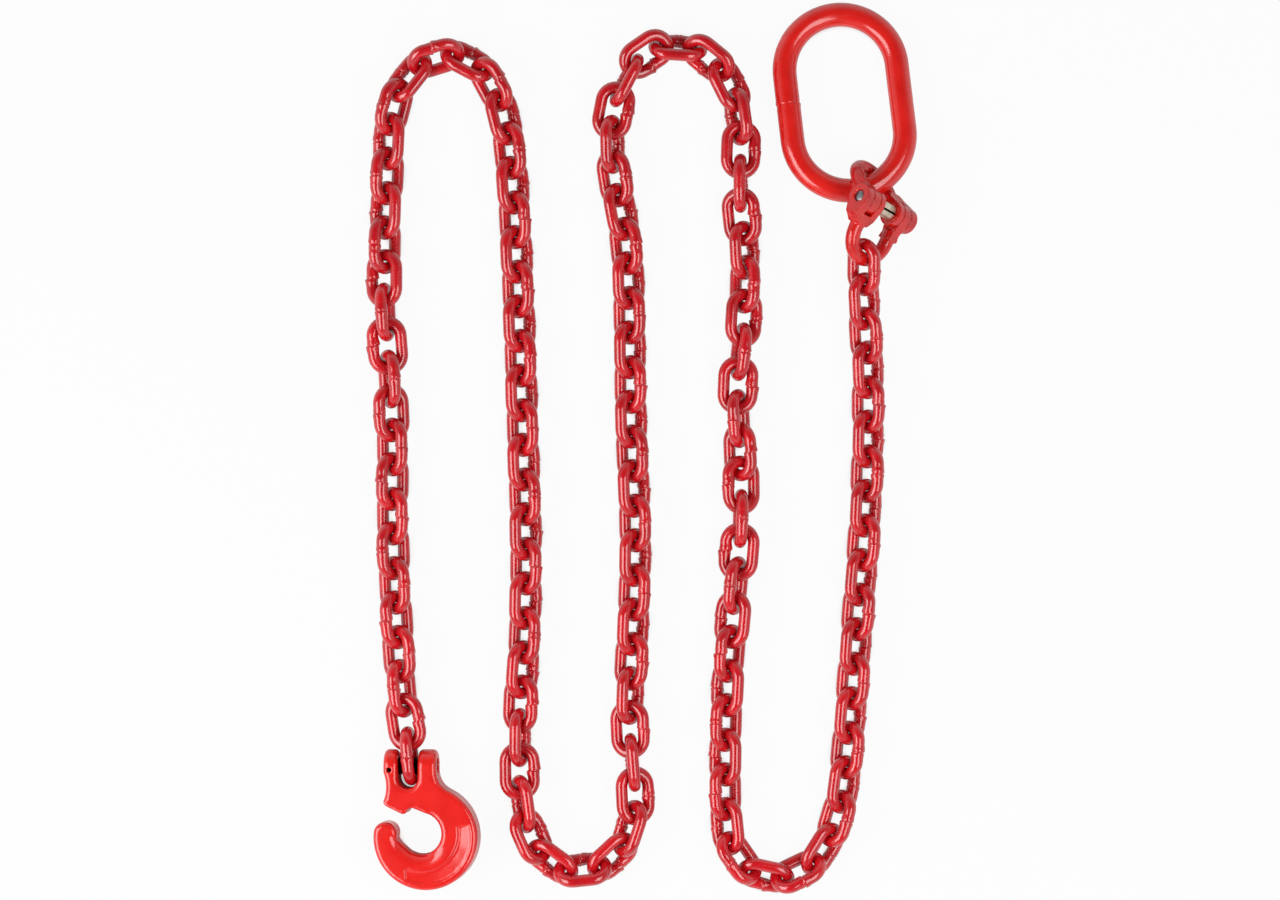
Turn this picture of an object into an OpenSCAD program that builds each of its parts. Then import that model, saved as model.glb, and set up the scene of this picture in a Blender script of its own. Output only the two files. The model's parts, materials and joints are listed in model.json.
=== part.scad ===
// Logging chain with a master link, a two-half coupling and a clevis choker hook, laid out in folds.
// Origin on the ground under the middle of the lay-out, +Y towards the master link, +Z up.

/* [Chain links] */
// Diameter of the round bar that the links are bent from
wire = 8; // [7.8:0.1:8.2]
// Inside length of one link
link_inner_length = 23.6; // [23.3:0.1:24.7]
// Inside width of one link
link_inner_width = 11; // [10.9:0.1:11.6]
// How far two neighbouring links could still be pulled apart
link_play = 0.48; // [0.4:0.02:0.7]
// Height of the weld bead above the bar
weld_height = 0.35; // [0.1:0.05:0.4]
// Length of the weld bead along the bar
weld_length = 5; // [3:0.5:7]

/* [Master link] */
// Diameter of the master link's bar
master_bar = 16; // [14:0.5:16.5]
// Inside length of the master link
master_inner_length = 103; // [95:1:120]
// Inside width of the master link
master_inner_width = 59; // [55:1:70]
// Lean of the master link in plan, degrees
master_lean = 6.6; // [0:0.2:12]

/* [Coupling] */
// Diameter of the coupling's bows
coupling_bar = 9.8; // [9:0.2:10]
// Inside width of each bow
coupling_inner_width = 22.8; // [22.4:0.2:24]
// Inside reach of each bow from the pin's axis
coupling_reach = 31; // [30:0.5:36]
// Diameter of the eyes round the pin
eye_diameter = 17.5; // [15:0.5:18]
// Thickness of the outer eye of each fork
outer_eye = 6.5; // [5:0.5:8]
// Thickness of the single eye between a fork's two
middle_eye = 7; // [6:0.5:8]
// Thickness of the inner eye of each fork
inner_eye = 5; // [4:0.5:5.5]
// Side clearance between neighbouring eyes
eye_clearance = 0.25; // [0.2:0.05:0.4]
// Diameter of the coupling's pin
coupling_pin_diameter = 7.6; // [6:0.2:8]
// Diameter of the spring sleeve round the pin
sleeve_diameter = 10.4; // [10:0.2:12]
// Width of the slot along the sleeve
sleeve_slot = 1.6; // [1:0.2:3]

/* [Choker hook] */
// Radius of the hook's round back
back_radius = 35; // [33:0.5:37]
// Radius of the bowl that holds the chain
bowl_radius = 14; // [12:0.5:15]
// Radius of the hook's nose
nose_radius = 7.8; // [7:0.2:8.4]
// Thickness of the hook's body
body_thickness = 22; // [18:1:23]
// Radius of the rounded edges of the body
edge_radius = 3.2; // [2:0.1:4]
// Depth of the crescent recess in each face
recess_depth = 1.6; // [0.5:0.1:2.5]
// Diameter of the clevis ears
ear_diameter = 22; // [20:0.5:22.5]
// Thickness of the left ear
left_ear = 9.7; // [8:0.1:11]
// Thickness of the right ear
right_ear = 12.6; // [10:0.1:14]
// Width of the slot between the ears
ear_slot = 13.3; // [12:0.1:14]
// Diameter of the hook's load pin
load_pin_diameter = 10; // [9:0.1:10.2]
// Diameter of the roll pin that keeps the load pin in
roll_pin_diameter = 3; // [2.5:0.1:3.5]

/* [Hidden] */
$fn = 64;

// Colours: glossy crimson chain, brighter red fittings, bare steel pins
chain_red = "#C81E28";
fitting_red = "#E8241F";
steel = "#8E9094";
sleeve_metal = "#C9C2B4";

// The lay-out of the chain, from the coupling to the hook: x, y, lift above the ground, twist in degrees
route = [
    [157, 154, 19, 0], [148, 132, 19, 0], [149, 96, 10, 0], [152, 47, 1, 0], [152, 7, 0, 0],
    [150, -47, 0, 0], [145, -113, 0, 0], [141, -167, 0, 0], [137, -213, 0, 0],
    [133, -240, 0, 0], [125, -262, 0, 0], [111, -280, 0, 0], [91, -286, 0, 0], [71, -280, 0, 0],
    [59, -261, 0, 0], [57, -237, 0, 0],
    [57, -193, 0, 0], [59, -145, 0, 2], [63, -99, 0, 16], [67, -52, 0, 45], [67, -6, 0, 87],
    [65, 40, 0, 130], [69, 85, 0, 162], [70, 131, 0, 184], [66, 175, 0, 218], [67, 197, 0, 234],
    [67, 219, 0, 250], [63, 237, 0, 262], [53, 255, 0, 272], [38, 267, 0, 279], [19, 270, 0, 284],
    [2, 263, 0, 291], [-11, 246, 0, 305], [-18, 223, 0, 325], [-19, 200, 0, 343],
    [-16, 177, 0, 355], [-9, 137, 0, 360], [-7, 87, 0, 360], [-6, 20, 0, 360], [-3, -60, 0, 360],
    [-5, -127, 0, 358], [-7, -175, 0, 342], [-6, -197, 0, 322], [-4, -220, 0, 302],
    [-3, -241, 0, 286], [-9, -261, 0, 277], [-24, -277, 0, 274], [-43, -282, 0, 272],
    [-61, -275, 0, 270], [-73, -258, 0, 263], [-79, -235, 0, 247], [-80, -210, 0, 225],
    [-80, -187, 0, 203], [-79, -157, 0, 184], [-77, -127, 0, 180], [-76, -60, 0, 180],
    [-78, 7, 0, 180], [-80, 73, 0, 180], [-83, 147, 0, 180], [-86, 193, 0, 180],
    [-89, 216, 0, 180], [-95, 237, 0, 180], [-106, 255, 0, 180], [-123, 264, 0, 180],
    [-141, 261, 0, 180], [-156, 248, 0, 180], [-165, 228, 0, 180],
    [-168, 193, 0, 180], [-170, 140, 0, 178], [-170, 97, 0, 152], [-167, 53, 0, 116],
    [-165, 7, 0, 92], [-165, -47, 0, 90], [-163, -100, 0, 90], [-160, -143, 0, 84],
    [-157, -175, 0, 68], [-153, -200, 0, 54], [-152, -219, 0, 51], [-152, -243, 0, 51]];

// How many links each run of the chain has, from the coupling to the hook
run_links = [
    1, 1, 3, 3, 2, 3, 3, 2, 2, 2, 3, 2, 2, 3, 2, 2, 3, 2, 2, 2, 2, 2, 3, 3, 2, 2, 3, 3, 2,
    2, 3, 2, 3, 2, 3, 3, 3, 3, 2, 2, 2, 3, 3, 2, 2, 2, 2, 2, 2, 2, 1, 1];

// Sums of the list's first values
function sums(list) =
    [for (i = 0, a = 0; i <= len(list); a = a + (i < len(list) ? list[i] : 0), i = i + 1) a];

run_starts = sums(run_links);
link_count = run_starts[len(run_links)];

// Sizes of one link's centre line
crown = (link_inner_width + wire) / 2;
half_leg = (link_inner_length - link_inner_width) / 2;
pitch = link_inner_length - link_play;

// A centripetal spline through the route's points, whose spacing is taken in plan
steps = 12;
function knot(a, b) = sqrt(max(norm([b.x - a.x, b.y - a.y]), 0.001));
function blend(a, b, ta, tb, t) = a * ((tb - t) / (tb - ta)) + b * ((t - ta) / (tb - ta));
function spline_point(p, f) =
    let (t1 = knot(p[0], p[1]), t2 = t1 + knot(p[1], p[2]), t3 = t2 + knot(p[2], p[3]),
        t = t1 + (t2 - t1) * f,
        a = blend(p[0], p[1], 0, t1, t), b = blend(p[1], p[2], t1, t2, t), c = blend(p[2], p[3], t2, t3, t))
    blend(blend(a, b, 0, t2, t), blend(b, c, t1, t3, t), t1, t2, t);
function neighbours(w, i) =
    [i > 0 ? w[i - 1] : 2 * w[0] - w[1], w[i], w[i + 1], i + 2 < len(w) ? w[i + 2] : 2 * w[i + 1] - w[i]];
function curve(w) = concat(
    [for (i = [0 : len(w) - 2], k = [0 : steps - 1]) spline_point(neighbours(w, i), k / steps)],
    [w[len(w) - 1]]);
function place_of(p) = [p.x, p.y, p.z];
function lengths(c) = sums([for (i = [1 : len(c) - 1]) norm(place_of(c[i]) - place_of(c[i - 1]))]);

// The chain's length along the route: a twisted stretch draws in by a little for each degree of twist,
// and the tight bends together add a little
tail = 24;
twist_give = 0.04;
twist_sum = sums([for (i = [1 : len(route) - 1]) abs(route[i][3] - route[i - 1][3])])[len(route) - 1];
bend_room = 5.4;
needed_length = tail + link_count * pitch - twist_give * twist_sum + bend_room + tail;

// The lay-out grows or shrinks in plan with the chain's length, so that the folds keep their shape
drawn_length = lengths(curve(route))[steps * (len(route) - 1)];
stretch = needed_length / drawn_length;
lay_out_middle = [0.9, 2];
path = curve([for (w = route)
    [w.x * stretch - lay_out_middle.x, w.y * stretch - lay_out_middle.y, w.z, w[3]]]);
path_length = lengths(path);
x_along = [for (i = [0 : len(path) - 1]) [path_length[i], path[i].x]];
y_along = [for (i = [0 : len(path) - 1]) [path_length[i], path[i].y]];
lift_along = [for (i = [0 : len(path) - 1]) [path_length[i], path[i].z]];
twist_along = [for (i = [0 : len(path) - 1]) [path_length[i], path[i][3]]];
function place(s) = [lookup(s, x_along), lookup(s, y_along), lookup(s, lift_along)];
function twist(s) = lookup(s, twist_along);

// The heading and the bend are measured over half a link to either side
reach = 12;
function unit(v) = v / norm(v);
function heading(s) = unit(place(s + reach) - place(s - reach));
function turn(s) = heading(s + reach) - heading(s - reach);
function bend(s) = acos(min(1, heading(s + reach) * heading(s - reach)));
function twist_change(s) = abs(twist(s + reach) - twist(s - reach));

// Where the links meet, as lengths along the route and then as points.
// A tight bend lets the links lie further apart
tight_bend = 24;
bend_give = 0.02;
meets = [for (i = 0, s = norm(place_of(path[steps]) - place_of(path[0])); i <= link_count;
    s = s + pitch - twist_give * twist_change(s + reach) + bend_give * max(0, bend(s + reach) - tight_bend),
    i = i + 1) s];
ground_gap = 0.45;
function rest_height(t) = ground_gap + wire / 2 + crown * max(abs(sin(45 + t)), abs(cos(45 + t)));
function bend_rise(b) = crown * b * PI / 180 / 4;
joints = [for (s = meets) place(s) + [0, 0, rest_height(twist(s)) + bend_rise(bend(s))]];

// A link's frame: along the chain, across its opening, and square to its opening
function middle(i) = (meets[i] + meets[i + 1]) / 2;
function along(i) = unit(joints[i + 1] - joints[i]);
function level(u) = unit([-u.y, u.x, 0]);
function roll(i) = twist(middle(i)) + (i % 2 == 0 ? 45 : -45);
function across(i) = let (u = along(i), side = level(u))
    cos(roll(i)) * side + sin(roll(i)) * cross(u, side);
function square_to(i) = cross(along(i), across(i));

// In a bend the link shifts sideways, since its two crowns can only roll about their own bars
function throw(i) = crown * turn(middle(i));
function link_centre(i) =
    let (w = throw(i), n = square_to(i)) (joints[i] + joints[i + 1]) / 2 + (w * n) * n / 2 - w / 4;

// Moves the shape from its own axes to an origin with three axes
module set_at(o, u, v, w) {
    multmatrix([[u.x, v.x, w.x, o.x], [u.y, v.y, w.y, o.y], [u.z, v.z, w.z, o.z], [0, 0, 0, 1]]) children();
}

// One link: two half-round crowns, two straight legs and the weld bead on one leg
module link() {
    for (a = [0, 180])
        rotate([0, 0, a]) {
            translate([half_leg, 0, 0]) rotate([0, 0, -90]) rotate_extrude(angle = 180)
                translate([crown, 0]) circle(d = wire);
            translate([-half_leg, crown, 0]) rotate([0, 90, 0]) cylinder(d = wire, h = 2 * half_leg);
        }
    translate([-weld_length / 2, crown, 0]) rotate([0, 90, 0]) weld_bead();
}

// The upset of the butt weld: a low collar with sloping ends
module weld_bead() {
    slope = weld_length / 4;
    rotate_extrude()
        polygon([[0, 0], [wire / 2 - 0.5, 0], [wire / 2 + weld_height, slope],
            [wire / 2 + weld_height, weld_length - slope], [wire / 2 - 0.5, weld_length], [0, weld_length]]);
}

module chain_run(k) {
    color(chain_red)
        for (i = [run_starts[k] : run_starts[k + 1] - 1])
            set_at(link_centre(i), along(i), across(i), square_to(i)) link();
}

// The coupling: its pin lies across, one half reaches over the master link's bar and the other to the chain
coupling_gap = 0.7;
pin_heading = -25;
pin_dip = 45;
upper_heading = 110.2;
pin_axis = [cos(pin_dip) * cos(pin_heading), cos(pin_dip) * sin(pin_heading), -sin(pin_dip)];
// The direction square to the pin that has the given heading in plan
function square_to_pin(h) =
    let (flat = [cos(h), sin(h), 0], d = unit([flat.x, flat.y, -(flat * pin_axis) / pin_axis.z])) d;
upper_axis = square_to_pin(upper_heading);
lower_axis = square_to_pin(pin_heading - 90);
coupling_centre = joints[0]
    - lower_axis * (coupling_reach - wire / 2 - coupling_gap + half_leg + crown - pitch / 2);

bow_radius = (coupling_inner_width + coupling_bar) / 2;
bow_start = coupling_reach + coupling_bar / 2 - bow_radius;
inner_end = bow_radius - middle_eye / 2 - eye_clearance + 0.3;
outer_start = inner_end + middle_eye + 2 * eye_clearance;
outer_end = outer_start + outer_eye;
inner_start = inner_end - inner_eye;
fork_root = eye_diameter / 2 + 0.8;
pin_clearance = 0.1;
pin_hole = coupling_pin_diameter + 2 * pin_clearance;

// An eye with its shank, from one side face to the other along the pin
module eye(from, to) {
    translate([from, 0, 0]) rotate([90, 0, 90]) linear_extrude(to - from) {
        circle(d = eye_diameter);
        polygon([[1.6, eye_diameter / 2 - 0.1], [fork_root + 2.5, coupling_bar / 2 + 0.3],
            [fork_root + 2.5, -coupling_bar / 2 - 0.3], [1.6, 0.1 - eye_diameter / 2]]);
    }
}

// The shoulder between a leg of the bow and its eyes, drawn in the bow's plane
module shoulder(inner, outer) {
    translate([0, 0, -coupling_bar / 2 - 0.3]) linear_extrude(coupling_bar + 0.6)
        polygon([[inner, fork_root], [outer, fork_root], [outer, fork_root + 2.5],
            [bow_radius + coupling_bar / 2 - 0.4, bow_start - 2.5],
            [bow_radius - coupling_bar / 2 + 0.4, bow_start - 2.5], [inner, fork_root + 2.5]]);
}

// One half of the coupling: a bow whose right leg ends in a fork and whose left leg ends in a single eye
module coupling_half() {
    difference() {
        union() {
            translate([0, bow_start, 0]) rotate_extrude(angle = 180)
                translate([bow_radius, 0]) circle(d = coupling_bar);
            for (side = [-1, 1])
                translate([side * bow_radius, fork_root + 1, 0]) rotate([-90, 0, 0])
                    cylinder(d = coupling_bar, h = bow_start - fork_root - 1);
            eye(inner_start, inner_end);
            eye(outer_start, outer_end);
            shoulder(inner_start, outer_end);
            eye(-inner_end - eye_clearance - middle_eye, -inner_end - eye_clearance);
            mirror([1, 0, 0]) shoulder(inner_end + eye_clearance, outer_start - eye_clearance);
        }
        translate([-outer_end - 1, 0, 0]) rotate([0, 90, 0]) cylinder(d = pin_hole, h = 2 * outer_end + 2);
    }
}

module coupling_upper_half() {
    color(fitting_red) set_at(coupling_centre, pin_axis, upper_axis, cross(pin_axis, upper_axis))
        coupling_half();
}

module coupling_lower_half() {
    color(fitting_red) set_at(coupling_centre, -pin_axis, lower_axis, cross(-pin_axis, lower_axis))
        coupling_half();
}

// The pin is as long as the eyes are wide, with its ends domed
module coupling_pin() {
    color(steel) set_at(coupling_centre, pin_axis, upper_axis, cross(pin_axis, upper_axis))
        rotate([0, 90, 0]) domed_pin(coupling_pin_diameter, 2 * outer_end - 0.6, 1.2);
}

// A round pin about Z whose ends slope in over the dome's height
module domed_pin(d, length, dome) {
    for (side = [0, 1])
        mirror([0, 0, side]) {
            cylinder(d = d, h = length / 2 - dome);
            translate([0, 0, length / 2 - dome]) cylinder(d1 = d, d2 = d * 0.62, h = dome);
        }
}

// The spring sleeve fills the space between the inner eyes and grips the pin
module coupling_sleeve() {
    length = 2 * (inner_start - eye_clearance);
    color(sleeve_metal) set_at(coupling_centre, pin_axis, upper_axis, cross(pin_axis, upper_axis))
        rotate([0, 90, 0]) difference() {
            translate([0, 0, -length / 2]) cylinder(d = sleeve_diameter, h = length);
            cylinder(d = pin_hole, h = length + 2, center = true);
            rotate([0, 0, sleeve_slot_turn]) translate([0, -sleeve_slot / 2, -length / 2 - 1])
                cube([sleeve_diameter, sleeve_slot, length + 2]);
        }
}
sleeve_slot_turn = 60;

// The master link hangs on the coupling's upper bow and rests with its far crown on the ground
master_radius = (master_inner_width + master_bar) / 2;
master_half_leg = (master_inner_length - master_inner_width) / 2;
bow_place = 19;
slope_room = 1.7;
held_at = coupling_centre + upper_axis * (coupling_reach - master_bar / 2 - slope_room);
held_across = master_radius * sin(bow_place);
held_along = master_half_leg + master_radius * cos(bow_place);
master_tilt = asin((held_at.z - master_bar / 2) / (master_half_leg + master_radius + held_along));
master_across = [cos(master_lean), sin(master_lean), 0];
master_along = [-sin(master_lean) * cos(master_tilt), cos(master_lean) * cos(master_tilt), -sin(master_tilt)];
master_centre = held_at - master_across * held_across + master_along * held_along;

module master_link() {
    color(fitting_red) set_at(master_centre, master_across, master_along, cross(master_across, master_along))
        for (a = [0, 180])
            rotate([0, 0, a]) {
                translate([0, master_half_leg, 0]) rotate_extrude(angle = 180)
                    translate([master_radius, 0]) circle(d = master_bar);
                translate([master_radius, -master_half_leg, 0]) rotate([-90, 0, 0])
                    cylinder(d = master_bar, h = 2 * master_half_leg);
            }
}

// The hook's own frame: its load pin's axis is X, its back points along -Y and its faces look along Z
last = link_count - 1;
pin_play = 0.3;
hook_tilt = 6;
hook_centre = link_centre(last)
    + along(last) * (half_leg + crown - wire / 2 - load_pin_diameter / 2 - pin_play);
module in_hook_frame() {
    translate(hook_centre) rotate([0, -hook_tilt, 0]) children();
}

// The slot between the hook's two ears, from the load pin's axis
slot_left = -7.3;
slot_right = slot_left + ear_slot;
slot_end = -8;
ear_left = slot_left - left_ear;
ear_right = slot_right + right_ear;

// The round places of the hook: its back, the bowl and the nose, whose outline runs into the back's
back_centre = [11.3, -47.3];
bowl_centre = [8, -44.7];
nose_turn = 175;
nose_centre = back_centre + (back_radius - nose_radius) * toward(nose_turn);

// The upper jaw: a beak, a small tooth and the hollow of the throat
beak_centre = [-13.6, -23.6];
beak_radius = 3.3;
jaw_edge = 1.6;
tooth_radius = 2.5;
throat_centre = [2.1, -31];
throat_radius = 3.4;
throat_turn = 163;
tooth_centre = throat_centre + (throat_radius + tooth_radius) * toward(throat_turn);

// The small hollow where the nose meets the bowl's floor
heel_radius = 1.8;
heel_turn = -18;
heel_centre = nose_centre + (nose_radius + heel_radius) * toward(heel_turn);

// The hollows under the two ears: the right one runs into the back, the left one into the beak
right_radius = 14;
right_centre = [ear_right + right_radius,
    back_centre.y + leg_of(back_radius + right_radius, ear_right + right_radius - back_centre.x)];
left_radius = 26;
left_depth = 1.8;
left_centre = [ear_left + left_depth - left_radius,
    beak_centre.y + leg_of(left_radius + beak_radius, ear_left + left_depth - left_radius - beak_centre.x)];
left_turn = acos(1 - left_depth / left_radius);

// Straight sides touch two rounds: the directions square to them, and the points where they touch
jaw_turn = touching(beak_centre, beak_radius, tooth_centre, tooth_radius, 1);
roof_turn = touching(throat_centre, throat_radius, bowl_centre, bowl_radius, -1);
floor_turn = touching(heel_centre, heel_radius, bowl_centre, bowl_radius, 1);
jaw = [beak_centre + beak_radius * toward(jaw_turn), tooth_centre + tooth_radius * toward(jaw_turn)];
roof = [throat_centre + throat_radius * toward(roof_turn), bowl_centre + bowl_radius * toward(roof_turn)];
floor_side = [bowl_centre + bowl_radius * toward(floor_turn), heel_centre + heel_radius * toward(floor_turn)];

function toward(angle) = [cos(angle), sin(angle)];
function turn_to(from, to) = atan2(to.y - from.y, to.x - from.x);
function leg_of(longest, leg) = sqrt(longest * longest - leg * leg);
function touching(a, ra, b, rb, side) = turn_to(b, a) + side * acos((rb - ra) / norm(b - a));

module neck_outline() {
    meets_back = turn_to(back_centre, right_centre);
    polygon([
        jaw[0], jaw[1], tooth_centre, tooth_centre - tooth_radius * toward(throat_turn), throat_centre,
        roof[0], roof[1],
        bowl_centre + (bowl_radius + edge_radius) * toward(roof_turn),
        back_centre + (back_radius - edge_radius) * toward(40),
        back_centre + (back_radius - edge_radius) * toward(meets_back),
        back_centre + back_radius * toward(meets_back),
        [ear_right, right_centre.y], [slot_right + edge_radius, right_centre.y],
        [slot_right + edge_radius, slot_end], [slot_left - edge_radius, slot_end],
        [slot_left - edge_radius, left_centre.y + left_radius * sin(left_turn)],
        left_centre + left_radius * toward(left_turn),
        beak_centre + beak_radius * toward(turn_to(beak_centre, left_centre)), beak_centre
    ]);
}

// What the mouth takes out of the round back, above the bowl and left of it
module mouth_outline() {
    polygon([
        [ear_left - 30, slot_end], [beak_centre.x, beak_centre.y + 5], throat_centre + [0, 7],
        bowl_centre + (bowl_radius + 4) * toward(roof_turn), roof[1],
        bowl_centre + (bowl_radius - 1) * toward(roof_turn - 20),
        bowl_centre + (bowl_radius - 1) * toward(floor_turn + 20), floor_side[0], floor_side[1],
        heel_centre, nose_centre, nose_centre + 30 * toward(nose_turn)
    ]);
}

module hook_body(h) {
    difference() {
        translate(back_centre) rotate_extrude() rim_profile(back_radius, h, edge_radius);
        translate([0, 0, -h - 1]) linear_extrude(2 * h + 2) mouth_outline();
    }
    translate(nose_centre) rotate_extrude() rim_profile(nose_radius, h, edge_radius);
    translate([0, 0, -h]) linear_extrude(2 * h) neck_outline();
    translate(beak_centre) rotate_extrude() rim_profile(beak_radius, h, jaw_edge);
    translate(tooth_centre) rotate_extrude() rim_profile(tooth_radius, h, jaw_edge);
}

// Half the section of a flat round body with rounded edges
module rim_profile(r, h, edge) {
    translate([0, -h]) square([r - edge, 2 * h]);
    translate([0, edge - h]) square([r, 2 * (h - edge)]);
    for (z = [edge - h, h - edge]) intersection() {
        translate([r - edge, z]) circle(r = edge);
        translate([0, -h]) square([r, 2 * h]);
    }
}

// Half the section of a round hollow that opens out through rounded edges
module hollow_profile(r, h, edge) {
    difference() {
        translate([0, -h - 1]) square([r + edge, 2 * h + 2]);
        translate([r, edge - h]) square([edge + 1, 2 * (h - edge)]);
        for (side = [-1, 1]) translate([r + edge, side * (h - edge)]) circle(r = edge);
    }
}

// A round hollow through the body over part of a turn
module hollow(centre, r, h, edge, from, to) {
    translate(centre) rotate([0, 0, from]) rotate_extrude(angle = to - from) hollow_profile(r, h, edge);
}

// Rounds the two edges along a straight side that has metal on its left
module straight_side(from, to, h, edge) {
    translate(from) rotate([90, 0, turn_to(from, to) + 90]) linear_extrude(norm(to - from))
        translate([-1, 0]) hollow_profile(1, h, edge);
}

// The crescent between the raised lip of the bowl and the back's rounded edge: its floor rises outwards
lip_width = 10.5;
recess_slope = 2;
module recess(h) {
    inner = bowl_radius + lip_width;
    outer = back_radius + norm(back_centre - bowl_centre);
    intersection() {
        translate(bowl_centre) rotate_extrude() polygon([
            [inner, h + 1], [inner, h], [inner + recess_slope, h - recess_depth], [outer, h], [outer, h + 1]
        ]);
        translate([0, 0, h - recess_depth - 1]) linear_extrude(recess_depth + 3) intersection() {
            translate(back_centre) circle(r = back_radius - edge_radius - 1);
            polygon([bowl_centre, [60, -34], [60, -100], [-2, -100], [-2, -60]]);
        }
    }
}

// Two round ears on posts that run down to the neck
module ears() {
    for (x = [[ear_left, slot_left], [slot_right, ear_right]]) {
        width = x[1] - x[0];
        translate([(x[0] + x[1]) / 2, 0, 0]) {
            rotate([0, 90, 0]) rotate_extrude() rim_profile(ear_diameter / 2, width / 2, edge_radius);
            rotate([90, 0, 0]) linear_extrude(-slot_end) post_outline(width, ear_diameter, edge_radius);
        }
    }
}

// A rectangle with rounded corners
module post_outline(width, height, edge) {
    square([width, height - 2 * edge], center = true);
    square([width - 2 * edge, height], center = true);
    for (x = [-1, 1], y = [-1, 1])
        translate([x * (width / 2 - edge), y * (height / 2 - edge)]) circle(r = edge);
}

module choker_hook() {
    h = body_thickness / 2;
    color(fitting_red) in_hook_frame() difference() {
        union() {
            hook_body(h);
            ears();
        }
        hollow(bowl_centre, bowl_radius, h, edge_radius, floor_turn, roof_turn);
        hollow(heel_centre, heel_radius, h, edge_radius, 180 + heel_turn, 360 + floor_turn);
        hollow(throat_centre, throat_radius, h, jaw_edge, roof_turn, throat_turn);
        straight_side(floor_side[0], floor_side[1], h, edge_radius);
        for (side = [roof, jaw]) straight_side(side[0], side[1], h, jaw_edge);
        hollow(right_centre, right_radius, h, edge_radius, 180, turn_to(right_centre, back_centre) + 360);
        hollow(left_centre, left_radius, h, edge_radius, turn_to(left_centre, beak_centre), left_turn);
        for (side = [0, 1]) mirror([0, 0, side]) recess(h);
        translate([slot_left, slot_end, -h - 1]) cube([ear_slot, ear_diameter, body_thickness + 2]);
        hollow([slot_left + ear_slot / 2, slot_end], ear_slot / 2, h, edge_radius, 180, 360);
        translate([ear_left - 1, 0, 0]) rotate([0, 90, 0])
            cylinder(d = load_pin_diameter + 2 * pin_clearance, h = ear_right - ear_left + 2);
        roll_pin_hole();
    }
}

module hook_load_pin() {
    color(steel) in_hook_frame() difference() {
        translate([(ear_left + ear_right) / 2, 0, 0]) rotate([0, 90, 0])
            domed_pin(load_pin_diameter, ear_right - ear_left - 2, 1);
        roll_pin_hole();
    }
}

// The roll pin crosses the load pin inside the left ear, and lies sunk in its hole
roll_pin_place = [-12.9, -2.4];
roll_pin_sunk = 3;
module roll_pin_hole() {
    translate([roll_pin_place.x, roll_pin_place.y, -ear_diameter])
        cylinder(d = roll_pin_diameter + 2 * pin_clearance, h = 2 * ear_diameter);
}
module hook_roll_pin() {
    color(steel) in_hook_frame()
        translate([roll_pin_place.x, roll_pin_place.y, roll_pin_sunk - ear_diameter / 2])
        cylinder(d = roll_pin_diameter, h = ear_diameter - 2 * roll_pin_sunk);
}

// Node names: a run is named after its first and last link, counted from the coupling
function three(n) = str(n < 100 ? "0" : "", n < 10 ? "0" : "", n);
function run_name(k) = let (a = run_starts[k] + 1, b = run_starts[k + 1])
    a == b ? str("chain_link_", three(a)) : str("chain_links_", three(a), "_to_", three(b));

master_link();
coupling_upper_half();
coupling_lower_half();
coupling_pin();
coupling_sleeve();
for (k = [0 : len(run_links) - 1]) chain_run(k);
choker_hook();
hook_load_pin();
hook_roll_pin();
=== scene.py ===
"""A logging chain laid out in folds: links, master link, coupling and choker hook, under studio light.

Lengths are in metres, and those whose names end in _mm are in millimetres."""

import json
import math

import bmesh
import bpy
import numpy as np
from mathutils import Matrix, Vector, noise


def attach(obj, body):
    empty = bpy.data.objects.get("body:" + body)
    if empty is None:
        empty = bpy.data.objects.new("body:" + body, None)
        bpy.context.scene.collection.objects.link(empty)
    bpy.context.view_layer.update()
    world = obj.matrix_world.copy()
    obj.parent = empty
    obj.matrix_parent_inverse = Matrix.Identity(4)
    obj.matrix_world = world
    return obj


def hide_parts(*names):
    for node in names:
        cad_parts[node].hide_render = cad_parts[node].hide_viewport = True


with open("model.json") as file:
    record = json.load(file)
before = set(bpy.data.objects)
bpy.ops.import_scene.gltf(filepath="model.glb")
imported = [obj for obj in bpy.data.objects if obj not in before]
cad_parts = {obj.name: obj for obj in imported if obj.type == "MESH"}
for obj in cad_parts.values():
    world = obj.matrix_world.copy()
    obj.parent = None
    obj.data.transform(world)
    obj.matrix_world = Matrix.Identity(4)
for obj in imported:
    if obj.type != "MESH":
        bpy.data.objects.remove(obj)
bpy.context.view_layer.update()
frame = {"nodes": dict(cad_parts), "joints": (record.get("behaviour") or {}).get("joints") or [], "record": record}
bodies = frame["record"]["behaviour"]["bodies"]
body_of_node = {node: body for body, nodes in bodies.items() for node in nodes}

MM = 0.001


# Colours and materials

def srgb(code):
    """Turns an sRGB hex colour into linear RGBA."""
    parts = [int(code[i:i + 2], 16) / 255 for i in (1, 3, 5)]
    return tuple(c / 12.92 if c <= 0.04045 else ((c + 0.055) / 1.055) ** 2.4 for c in parts) + (1.0,)


def add_node(tree, kind, settings=None, **links):
    """Adds a shader node. Settings fill its properties and sockets, and links join its sockets to outputs.

    A link goes by its socket's name with _ for a space, or by _ and its socket's number."""
    made = tree.nodes.new(kind)
    for key, value in (settings or {}).items():
        if isinstance(key, int) or key in made.inputs:
            made.inputs[key].default_value = value
        else:
            setattr(made, key, value)
    for key, source in links.items():
        socket = made.inputs[int(key[1:])] if key[1:].isdigit() else made.inputs[key.replace("_", " ")]
        tree.links.new(source, socket)
    return made


def new_material(name):
    """An empty material: its datablock, its node tree and its output node."""
    material = bpy.data.materials.new(name)
    material.use_nodes = True
    tree = material.node_tree
    tree.nodes.clear()
    output = tree.nodes.new("ShaderNodeOutputMaterial")
    return material, tree, output


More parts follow.
